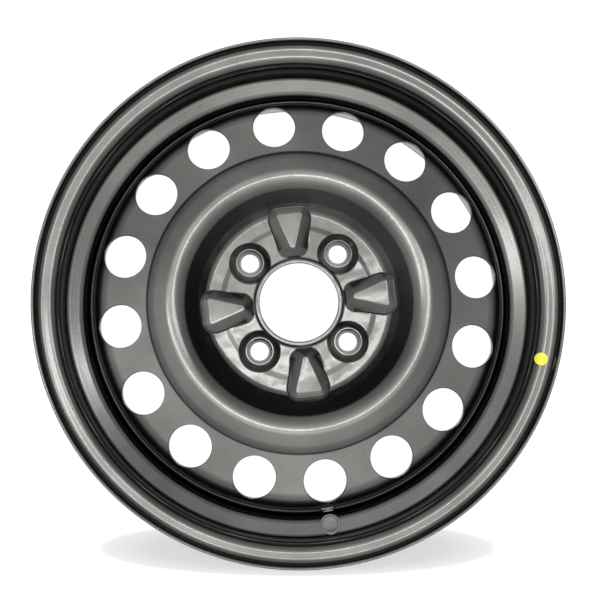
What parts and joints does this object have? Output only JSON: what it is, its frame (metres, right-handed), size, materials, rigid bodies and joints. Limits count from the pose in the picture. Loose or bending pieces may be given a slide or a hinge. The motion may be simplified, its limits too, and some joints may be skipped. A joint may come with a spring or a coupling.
{
  "type": "pressed steel wheel rim",
  "caption": "Pressed steel road wheel: a rolled drop-centre barrel for the tyre beads with a welded disc that has a bowl, hub plate, coned nut seats and round hand holes.",
  "frame": {"origin": "on the wheel's axis, in the plane of the inboard flange that the wheel lies on", "axes": "+Z along the wheel's axis to the outboard side; the wedges lie along X and Y, the bolt holes at 45 degrees between them, and the valve hole near -Y"},
  "size_m": [0.4148, 0.4148, 0.1647],
  "materials": {
    "coated_steel": "black semi-gloss dip coat with a fine grain",
    "coated_weld": "black dip coat over a rippled weld bead",
    "yellow_paint": "flat yellow marking paint"
  },
  "bodies": {
    "root": {"rim_barrel": "coated_steel", "wheel_disc": "coated_steel", "disc_weld_1": "coated_weld", "disc_weld_2": "coated_weld", "disc_weld_3": "coated_weld", "disc_weld_4": "coated_weld", "disc_weld_5": "coated_weld", "disc_weld_6": "coated_weld", "disc_weld_7": "coated_weld", "disc_weld_8": "coated_weld", "paint_dot": "yellow_paint"}
  },
  "joints": []
}
